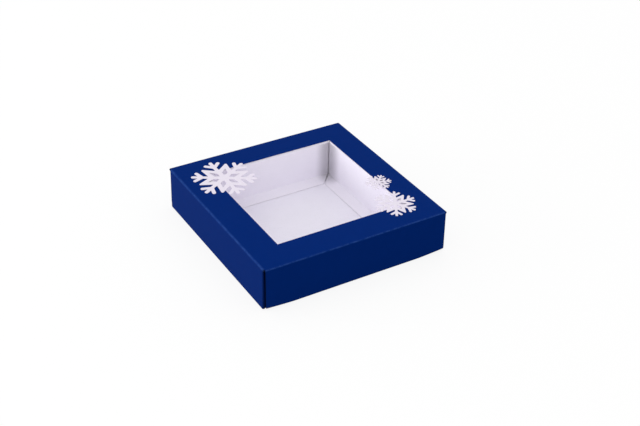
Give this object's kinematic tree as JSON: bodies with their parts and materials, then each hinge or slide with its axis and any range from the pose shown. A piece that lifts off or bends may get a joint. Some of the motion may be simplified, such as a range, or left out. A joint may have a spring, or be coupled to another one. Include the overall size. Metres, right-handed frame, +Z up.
{
  "type": "chocolate box",
  "caption": "Shallow square presentation carton with a lift-off blue lid, a clear window over a white hollow-walled tray, and die-cut snowflakes glued over the window's corners.",
  "frame": {"origin": "centre of the tray's underside, on the surface that the box stands on", "axes": "+Z up, the way the lid lifts; +X along the lid's rolled-over front wall, +Y from that wall to the back"},
  "size_m": [0.16, 0.162, 0.0366],
  "materials": {
    "white_card": "matt coated white",
    "blue_card": "silk-coated deep blue print",
    "clear_film": "clear glossy film",
    "flake_card": "matt white"
  },
  "bodies": {
    "tray": {"tray_blank": "white_card"},
    "lid": {"lid_blank": "blue_card", "window_film": "clear_film", "snowflake_large": "flake_card", "snowflake_medium": "flake_card", "snowflake_small": "flake_card"}
  },
  "joints": [
    {"name": "lid_lift", "type": "slide", "parent": "tray", "child": "lid", "axis": [0, 0, 1], "range_m": [0, 0.06]}
  ]
}
